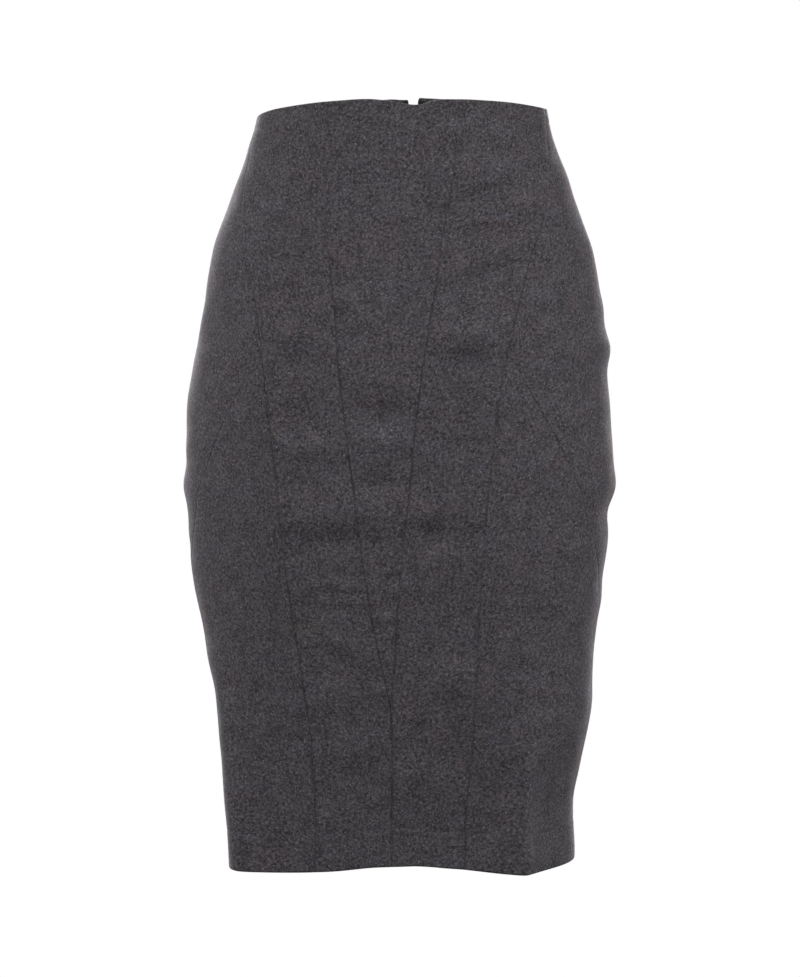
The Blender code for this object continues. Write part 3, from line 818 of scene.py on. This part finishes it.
# Side panels: below the slanting seam, down to the hem, with the soft upright fold where the
# front turns into the side.
for side, mirrored in SIDES:
    grid = lay_out(
        outer_seam, side_seam, slant_line, hem_line,
        stops(EDGE_STEPS, 56, EDGE_STEPS), stops(STEEP_STEPS, 142, HEM_STEPS), mirrored,
    )
    side_panel = cloth_shell(
        f"side_panel_{side}", 6 + mirrored, grid,
        [(grid.start, 0.9), (grid.end, 0.8), (grid.top / SLANT_STEEPNESS, 0.4)],
        [(grid.bottom, HEM_TURN)],
    )
    sew_in(side_panel, f"front_side_{side}")


# Back pieces: one plain piece on each side, with a sewn dart at the waist. They meet over the
# concealed zip, in a seam below it, and part again at the walking slit.
CENTRE_BACK = 180.0
DART_STEPS = (-2.4, -1.3, -0.7, -0.3, 0.0, 0.3, 0.7, 1.3, 2.4)
Opening = namedtuple("Opening", "height half_gap")
PARTING = [Opening(*row) for row in (
    (-600, 2.2),
    (-530, 0.9),
    (-450, 0.15),
    (-400, 0.15),
    (-34, 0.15),
    (-20, 0.6),
    (-8, 1.3),
    (6, 2.6),
    (20, 4.2),
    (30, 5),
)]
DART_SHARE = 0.5
DART_POINT = -128.0
CORNER_DROP = 3.6
RIGHT_END_DROP = 1.4


def centre_back_edge(height):
    half = np.maximum(smooth_column(PARTING, "height", "half_gap", height), 0.05)
    return CENTRE_BACK - half / millimetres_per_degree(CENTRE_BACK, height)


def with_dart(lines, share):
    """Adds fine grid lines on both sides of a dart at a share of the way across."""
    fixed, even, ends = lines
    middle = (even > 0) & (even < 1) & (np.abs(even - share) > 0.016)
    near, far = fixed[even == 0], fixed[even == 1]
    fixed = np.concatenate([near, fixed[middle], near[-1] + np.array(DART_STEPS), far])
    even = np.concatenate([0 * near, even[middle], np.full(len(DART_STEPS), share), 1 + 0 * far])
    order = np.lexsort((fixed, even))
    return fixed[order], even[order], ends


def back_waist_line(angle, across):
    """The waist edge, rounded off beside the zip, where the wearer's right end sits lower."""
    corner = CORNER_DROP * rise((np.abs(angle) - 175.8) / 2.6) ** 2
    return waist_line(angle, across) - corner - RIGHT_END_DROP * rise((-angle - 167.0) / 9.0)


for side, mirrored in SIDES:
    columns = with_dart(stops(EDGE_STEPS, 92, EDGE_STEPS), DART_SHARE)
    grid = lay_out(
        side_seam, centre_back_edge, back_waist_line, hem_line,
        columns, stops(TURN_STEPS, 244, HEM_STEPS), mirrored,
    )
    width = grid.start + grid.end
    from_dart = grid.start - EDGE_STEPS[-1] - DART_SHARE * (width - 2 * EDGE_STEPS[-1])
    sewn = rise((grid.height - DART_POINT) / 70.0)
    dart = sewn * (0.55 * bell(from_dart, 0.5) + 0.16 * bell(from_dart, 3.0))
    back_piece = cloth_shell(
        f"back_piece_{side}", 8 + mirrored, grid, [(grid.start, 0.8), (grid.end, 1.0)],
        [(grid.top, WAIST_TURN), (grid.bottom, HEM_TURN)], dart,
    )
    sew_in(back_piece, f"back_{side}")


# Overlocking: the raw edges of the seam allowances, of the waist turning and of the hem are bound
# with charcoal polyester thread on the inside, in slanting stitches about 2 mm apart.
STITCH_PITCH = 2.3
STITCH_REACHES = (-2.4, -0.45, 0.5)
THREAD_RADIUS = 0.17


def scuffed(name, dark, pale, scale, detail, distortion, gloss):
    """A smooth surface with fine scuffs, between two tones and two roughnesses."""
    made, tree, shader = new_material(name)
    place = add_node(tree, "ShaderNodeTexCoord")
    scuffs = add_node(
        tree, "ShaderNodeTexNoise", Vector=place.outputs["Object"], Scale=scale, Detail=detail,
        Distortion=distortion,
    ).outputs["Fac"]
    rough = add_node(tree, "ShaderNodeMapRange", Value=scuffs, To_Min=gloss[0], To_Max=gloss[1])
    tone = blended(tree, scuffs, dark, pale)
    feed(tree, shader, Base_Color=tone, Roughness=rough.outputs["Result"])
    return made, tree, shader, scuffs


def smooth_thread(name, dark, pale):
    """Smooth spun or moulded fibre."""
    return scuffed(name, dark, pale, 1800, 3, 0.0, (0.32, 0.55))[0]


def bound_edge(distances, inner, outward, width):
    """Three points and a lift direction for each stitch over a raw edge, this far from a seam."""
    lines = []
    for reach in STITCH_REACHES:
        for field in (inner, outward):
            lines.append([
                [np.interp(width + reach, d[order], row[order, k]) for k in range(3)]
                for d, row, order in zip(distances, field, np.argsort(distances, axis=1))
            ])
    low, low_lift, edge, edge_lift, high, high_lift = np.array(lines)
    run = np.concatenate([[0.0], np.cumsum(np.linalg.norm(np.diff(low, axis=0), axis=1))])
    count = np.arange(0.5 * STITCH_PITCH, run[-1] - STITCH_PITCH, STITCH_PITCH)

    def at(line, ahead):
        return np.stack([np.interp(count + ahead, run, line[:, k]) for k in range(3)], -1)

    return np.stack([
        at(low - 0.12 * low_lift, 0.0), at(edge - 0.15 * edge_lift, 0.6),
        at(high - 0.12 * high_lift, 1.0), at(edge_lift, 0.6),
    ], 1)


stitches = []
for name, (grid, inner, outward) in inner_faces.items():
    wide = (grid.start + grid.end).max(axis=1) > 2 * ALLOWANCE + 6.0
    below_turn = grid.top.max(axis=1) > WAIST_TURN + 1.0
    rows = wide & below_turn & (grid.bottom.max(axis=1) > HEM_TURN + 1.0)
    for distances in (grid.start, grid.end):
        stitches.append(bound_edge(distances[rows], inner[rows], outward[rows], ALLOWANCE))
    across = inner.transpose(1, 0, 2), outward.transpose(1, 0, 2)
    if not name.startswith("side"):
        stitches.append(bound_edge(grid.top.T, *across, WAIST_TURN))
    if name.startswith(("inner", "side", "back")):
        stitches.append(bound_edge(grid.bottom.T, *across, HEM_TURN))
    if name.startswith("hip"):
        stitches.append(bound_edge(grid.bottom.T / SLANT_STEEPNESS, *across, ALLOWANCE))
    if name.startswith("side"):
        stitches.append(bound_edge(grid.top.T / SLANT_STEEPNESS, *across, ALLOWANCE))
stitches = np.vstack(stitches)
centres, lift = stitches[:, :3], stitches[:, 3]
run = centres[:, 2] - centres[:, 0]
sideways = unit(np.cross(lift, run))
lift = unit(np.cross(run, sideways))
around = THREAD_RADIUS * np.stack([sideways, lift, -sideways, -lift], 1)
points = (centres[:, :, None] + around[:, None]) * MM
quads = [(3, 2, 1, 0), (8, 9, 10, 11)]
for k in range(8):
    ahead = k - 3 if k % 4 == 3 else k + 1
    quads.append((k, ahead, ahead + 4, k + 4))
quads = (12 * np.arange(len(points))[:, None, None] + np.array(quads)).reshape(-1, 4)
overlocking = piece_of_points("overlock_stitches", points.reshape(-1, 3), quads)
thread = smooth_thread("charcoal_thread", (0.020, 0.019, 0.021, 1), (0.060, 0.057, 0.062, 1))
overlocking.data.materials.append(thread)
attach(overlocking, "skirt")


# Zip tapes: two black tapes of woven polyester with firm edges, each sewn flat on the allowance
# of a back piece, from just under the waist edge to below the zip's end. The top ends, which show
# in the notch, are cut on the slant.
TAPE_WIDTH = 12.0
TAPE_CLOTH = 0.5
TAPE_DEPTH = 3.15
TAPE_INSET = 0.9
TAPE_DROP = 2.6
TAPE_SLANT = 2.8
ZIP_BOTTOM = -188.0
HERRINGBONE = 0.0015
RIB_PITCH = 0.0006
THREAD_PITCH = 0.0004


def black_tape():
    """Fine herringbone tape, matte black, with a slight thread sheen."""
    made, tree, shader = new_material(
        "black_woven_tape", Roughness=0.72, Specular_IOR_Level=0.3, Sheen_Weight=0.12
    )
    place = add_node(tree, "ShaderNodeUVMap")
    place.uv_map = "cloth"
    parts = add_node(tree, "ShaderNodeSeparateXYZ", Vector=place.outputs["UV"]).outputs
    slope = worked(tree, "ADD", worked(tree, "PINGPONG", parts["X"], HERRINGBONE), parts["Y"])
    rib = worked(tree, "SINE", worked(tree, "MULTIPLY", slope, 2 * math.pi / RIB_PITCH))
    thread = worked(tree, "MULTIPLY", parts["X"], 2 * math.pi / THREAD_PITCH)
    thread = worked(tree, "SINE", thread)
    weave = worked(tree, "ADD", rib, worked(tree, "MULTIPLY", thread, 0.4))
    share = worked(tree, "MULTIPLY_ADD", weave, 0.35, 0.5)
    tone = blended(tree, share, (0.0065, 0.0065, 0.0070, 1), (0.0210, 0.0205, 0.0215, 1))
    feed(tree, shader, Base_Color=tone)
    raise_bump(tree, shader, weave, 0.6, 0.00008)
    return made


woven_tape = black_tape()
for side, mirrored in SIDES:
    turned = -1.0 if mirrored else 1.0
    across, down = np.meshgrid(np.linspace(0, 1, 15), np.linspace(0, 1, 131))
    top = EDGES[0].waist - TAPE_DROP - TAPE_SLANT * across ** 1.5
    height = top + down * (ZIP_BOTTOM - top)
    half = np.maximum(smooth_column(PARTING, "height", "half_gap", height), TAPE_INSET)
    reach = half + across * TAPE_WIDTH
    angle = turned * (CENTRE_BACK - reach / millimetres_per_degree(CENTRE_BACK, height))
    from_start, from_end = across * TAPE_WIDTH, (1 - across) * TAPE_WIDTH
    grid = Grid(angle, height, from_start, from_end, top - height, height - ZIP_BOTTOM)
    under_turn = ALLOWANCE_CLOTH * pressed(EDGES[0].waist - height, WAIST_TURN + 1.5)
    stitching = -0.12 * bell(grid.start - 4.0, 0.5) * (0.6 + 0.4 * np.sin(height * 2.6))
    wave = 0.10 * np.sin(height / 5.3) * across
    edge = np.minimum(np.minimum(grid.start, grid.end), np.minimum(grid.top, grid.bottom))
    drop = rolled(edge, 0.5 * TAPE_CLOTH)
    tape = shell_on_figure(
        f"tape_{side}", grid, stitching + wave - TAPE_DEPTH - under_turn, drop,
        TAPE_CLOTH + 0 * angle, 0.5 * TAPE_CLOTH + 0 * angle, 0 * angle, 20 + mirrored,
    )
    tape.data.materials.append(woven_tape)
    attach(tape, "skirt")
    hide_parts(f"zip_tape_{side}")


# Zip teeth: a closed coil of black nylon, with loops from the two tapes meshed in turn. It runs
# behind the centre back seam, from the slider to the zip's end.
TOOTH_PITCH = 1.3
TOOTH_DEPTH = 4.0
TOOTH_ACROSS = 0.75
TOOTH_HALF_SIZE = (1.45, 0.62, 0.36)
TOOTH_LEAN = 0.10
COIL_TOP = -10.0
COIL_BOTTOM = -182.0


def inside_place(across, height, depth):
    """A frame behind the centre back: X across to the left, Y outward, Z up the slope."""
    angle = CENTRE_BACK - across / millimetres_per_degree(CENTRE_BACK, height)
    outward = Vector(figure_normal(angle, height))
    up = Vector(figure_point(angle, height + 2.0) - figure_point(angle, height - 2.0)).normalized()
    left = outward.cross(up)
    turn = Matrix((left, outward, up)).transposed().to_4x4()
    return Matrix.Translation(Vector(figure_point(angle, height)) - depth * outward) @ turn


bpy.ops.mesh.primitive_uv_sphere_add(segments=8, ring_count=6, radius=1.0, location=(0, 0, 0))
tooth = bpy.context.object
tooth_points = np.array([vertex.co for vertex in tooth.data.vertices], float)
tooth_faces = sorted(tuple(face.vertices) for face in tooth.data.polygons)
bpy.data.objects.remove(tooth)
points, faces = [], []
for turned in (1.0, -1.0):
    first = COIL_TOP - (0.0 if turned > 0 else 0.5 * TOOTH_PITCH)
    for height in np.arange(first, COIL_BOTTOM, -TOOTH_PITCH):
        place = inside_place(turned * TOOTH_ACROSS, height, TOOTH_DEPTH)
        shape = tooth_points * TOOTH_HALF_SIZE
        shape[:, 2] += TOOTH_LEAN * turned * shape[:, 0]
        faces += [tuple(len(points) + i for i in face) for face in tooth_faces]
        points += [tuple(MM * c for c in place @ Vector(point)) for point in shape]
nylon = smooth_thread("black_nylon", (0.006, 0.006, 0.0065, 1), (0.016, 0.016, 0.017, 1))
coil = piece_of_points("zip_coil", points, faces)
coil.data.materials.append(nylon)
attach(coil, "skirt")
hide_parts("zip_chain")


# Slider: a small cast body of gunmetal-lacquered zinc round the coil, at the top of the zip. A
# neck passes out between the back edges to a bridge, whose pin carries the pull tab.
SLIDER_HEIGHT = -5.0
SLIDER_LENGTH = 9.0
SLIDER_WIDTH = 6.4
BODY_NEAR = 2.8
BODY_FAR = 6.0
PLATE = 0.85
PIN_OUT = 2.6
PIN_RADIUS = 0.5
PIN_LENGTH = 4.5


def leaning(place, top, bottom):
    """A frame at a place that leans as the centre back does between two heights."""
    above, below = figure_point(CENTRE_BACK, top), figure_point(CENTRE_BACK, bottom)
    lean = math.atan2(below[1] - above[1], above[2] - below[2])
    return Matrix.Translation(place) @ Matrix.Rotation(lean, 4, "X")


def gunmetal():
    """Dark gunmetal lacquer over cast zinc: satin, with fine scratches and worn high spots."""
    made, tree, shader, scratches = scuffed(
        "gunmetal_lacquer", (0.036, 0.035, 0.038, 1), (0.085, 0.083, 0.088, 1),
        900, 5, 1.2, (0.24, 0.48),
    )
    feed(tree, shader, Metallic=0.9)
    raise_bump(tree, shader, scratches, 0.15, 0.00003)
    return made


def round_edges(piece, radius, steps=3):
    """Rounds a piece's sharp edges by a radius in millimetres."""
    soften = piece.modifiers.new("rounded", "BEVEL")
    soften.width = radius
    soften.segments = steps
    soften.limit_method = "ANGLE"
    soften.angle_limit = math.radians(35)
    bpy.context.view_layer.objects.active = piece
    bpy.ops.object.modifier_apply(modifier=soften.name)


def metal_block(low, high, radius):
    """A cast block between two corners with rounded edges, in millimetres."""
    low, high = Vector(low), Vector(high)
    bpy.ops.mesh.primitive_cube_add(size=1.0, location=(low + high) / 2)
    block = bpy.context.object
    block.scale = high - low
    bpy.ops.object.transform_apply(location=True, rotation=False, scale=True)
    round_edges(block, radius)
    return block


def pick(piece, kind, wanted):
    """Opens a piece for editing with only the wanted points, edges or faces selected."""
    bpy.context.view_layer.objects.active = piece
    bpy.ops.object.mode_set(mode="EDIT")
    bpy.ops.mesh.select_all(action="DESELECT")
    bpy.ops.object.mode_set(mode="OBJECT")
    for element in getattr(piece.data, kind):
        element.select = wanted(element)
    bpy.ops.object.mode_set(mode="EDIT")


def narrow(piece, wanted, factor):
    """Draws in the wanted points of a piece towards the middle of the slider."""
    pick(piece, "vertices", wanted)
    bpy.ops.transform.resize(value=factor, center_override=(0, 0, 0))
    bpy.ops.object.mode_set(mode="OBJECT")


lacquer = gunmetal()


def one_piece(name, parts, place):
    """Joins parts into one lacquered piece and puts it in place, in metres."""
    bpy.ops.object.select_all(action="DESELECT")
    for part in parts:
        part.select_set(True)
    bpy.context.view_layer.objects.active = parts[0]
    bpy.ops.object.join()
    piece = bpy.context.view_layer.objects.active
    piece.name = name
    piece.matrix_world = Matrix.Scale(MM, 4) @ place
    bpy.ops.object.transform_apply(location=True, rotation=True, scale=True)
    bpy.ops.object.shade_smooth_by_angle(angle=math.radians(40))
    piece.data.materials.clear()
    piece.data.materials.append(lacquer)
    return piece


half_length = 0.5 * SLIDER_LENGTH
half_width = 0.5 * SLIDER_WIDTH
slider_place = leaning(
    Vector(figure_point(CENTRE_BACK, SLIDER_HEIGHT)),
    SLIDER_HEIGHT + half_length, SLIDER_HEIGHT - half_length,
)
slider_parts = []
for near, far in ((BODY_NEAR, BODY_NEAR + PLATE), (BODY_FAR - PLATE, BODY_FAR)):
    plate = metal_block((-half_width, -far, -half_length), (half_width, -near, half_length), 0.3)
    narrow(plate, lambda vertex: vertex.co.z < 0, (0.78, 1, 1))
    slider_parts.append(plate)
for turned in (1.0, -1.0):
    low_x, high_x = sorted((turned * (half_width - 0.75), turned * half_width))
    low_corner = (low_x, -BODY_FAR + 0.2, -half_length + 0.3)
    flange = metal_block(low_corner, (high_x, -BODY_NEAR - 0.2, 1.6), 0.2)
    narrow(flange, lambda vertex: vertex.co.z < 0, (0.80, 1, 1))
    slider_parts.append(flange)
    low_x, high_x = sorted((turned * 1.4, turned * 2.1))
    cheek = metal_block((low_x, 0.45, -1.95), (high_x, 3.5, 1.95), 0.22)
    narrow(cheek, lambda vertex: vertex.co.y > PIN_OUT - 0.4, (1, 1, 0.62))
    slider_parts.append(cheek)
slider_parts += [
    metal_block((-1.0, -BODY_FAR + 0.2, 1.2), (1.0, -BODY_NEAR - 0.2, half_length - 0.3), 0.35),
    metal_block((-0.7, -BODY_NEAR - 0.3, -2.2), (0.7, 0.6, 2.2), 0.15),
    metal_block((-2.1, 0.3, -2.4), (2.1, 0.85, 2.4), 0.2),
]
bpy.ops.mesh.primitive_cylinder_add(
    vertices=20, radius=PIN_RADIUS, depth=PIN_LENGTH, location=(0, PIN_OUT, 0),
    rotation=(0, math.radians(90), 0),
)
pin = bpy.context.object
bpy.ops.object.transform_apply(location=True, rotation=True, scale=False)
round_edges(pin, 0.15)
slider_parts.append(pin)
slider = one_piece("slider", slider_parts, slider_place)
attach(slider, "skirt")
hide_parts("zip_slider")


# Pull tab: a flat drop-shaped tab of the same lacquered metal, with a shallow sunk panel on its
# outer face and an eye that swings on the slider's pin.
TAB_LENGTH = 24.0
TAB_HALF_WIDTH = 2.9
TAB_EYE_HALF_WIDTH = 1.05
TAB_BACK = -1.4
TAB_THICKNESS = 0.9
EYE_RADIUS = 1.12
EYE_WALL = 0.32
PANEL_MARGIN = 0.75
PANEL_DEPTH = 0.18

on_pin = slider_place @ Vector((0, PIN_OUT, 0))
tab_place = leaning(on_pin, SLIDER_HEIGHT, SLIDER_HEIGHT - TAB_LENGTH)
bpy.ops.mesh.primitive_torus_add(
    major_segments=32, minor_segments=12, major_radius=EYE_RADIUS, minor_radius=EYE_WALL,
    location=(0, 0, 0), rotation=(0, math.radians(90), 0),
)
eye = bpy.context.object
eye.scale = (1, 1, TAB_EYE_HALF_WIDTH / EYE_WALL)
bpy.ops.object.transform_apply(location=False, rotation=True, scale=True)


def tab_half_width(down):
    """Narrow at the eye, full near the round end."""
    flare = float(rise(down / (0.62 * TAB_LENGTH)))
    width = TAB_EYE_HALF_WIDTH + (TAB_HALF_WIDTH - TAB_EYE_HALF_WIDTH) * flare
    left_over = TAB_LENGTH - down
    if left_over < TAB_HALF_WIDTH:
        width *= math.sqrt(max(0.0, 1 - (1 - left_over / TAB_HALF_WIDTH) ** 2))
    return width


downs = [1.2] + list(np.linspace(2.2, TAB_LENGTH - TAB_HALF_WIDTH, 13))
downs += [TAB_LENGTH - d for d in (2.1, 1.4, 0.8, 0.35, 0.08)]
bpy.ops.mesh.primitive_plane_add(size=1.0, location=(0, 0, 0), rotation=(math.radians(90), 0, 0))
plate = bpy.context.object
bpy.ops.object.transform_apply(location=False, rotation=True, scale=False)
for vertex in plate.data.vertices:
    down = downs[0] if vertex.co.z > 0 else downs[1]
    vertex.co = (math.copysign(tab_half_width(down), vertex.co.x), TAB_BACK, -down)
lower_ends = {vertex.index for vertex in plate.data.vertices if vertex.co.z < -downs[0] - 0.01}
pick(plate, "edges", lambda edge: set(edge.vertices) <= lower_ends)
bpy.ops.mesh.select_mode(type="EDGE")
for above, below in zip(downs[1:], downs[2:]):
    bpy.ops.mesh.extrude_region_move(TRANSFORM_OT_translate={"value": (0, 0, above - below)})
    bpy.ops.transform.resize(
        value=(tab_half_width(below) / tab_half_width(above), 1, 1), center_override=(0, 0, -below)
    )
bpy.ops.mesh.select_all(action="SELECT")
bpy.ops.mesh.extrude_region_move(TRANSFORM_OT_translate={"value": (0, TAB_THICKNESS, 0)})
bpy.ops.mesh.normals_make_consistent(inside=False)
pick(plate, "polygons", lambda face: face.normal.y > 0.9 and face.center.z < -4.0)
bpy.ops.mesh.select_mode(type="FACE")
bpy.ops.mesh.inset(thickness=PANEL_MARGIN, depth=0.0)
bpy.ops.mesh.inset(thickness=PANEL_DEPTH, depth=-PANEL_DEPTH)
bpy.ops.object.mode_set(mode="OBJECT")
round_edges(plate, 0.16, 2)
pull_tab = one_piece("pull_tab_plate", [plate, eye], tab_place)
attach(pull_tab, "pull_tab")
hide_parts("zip_pull_tab")
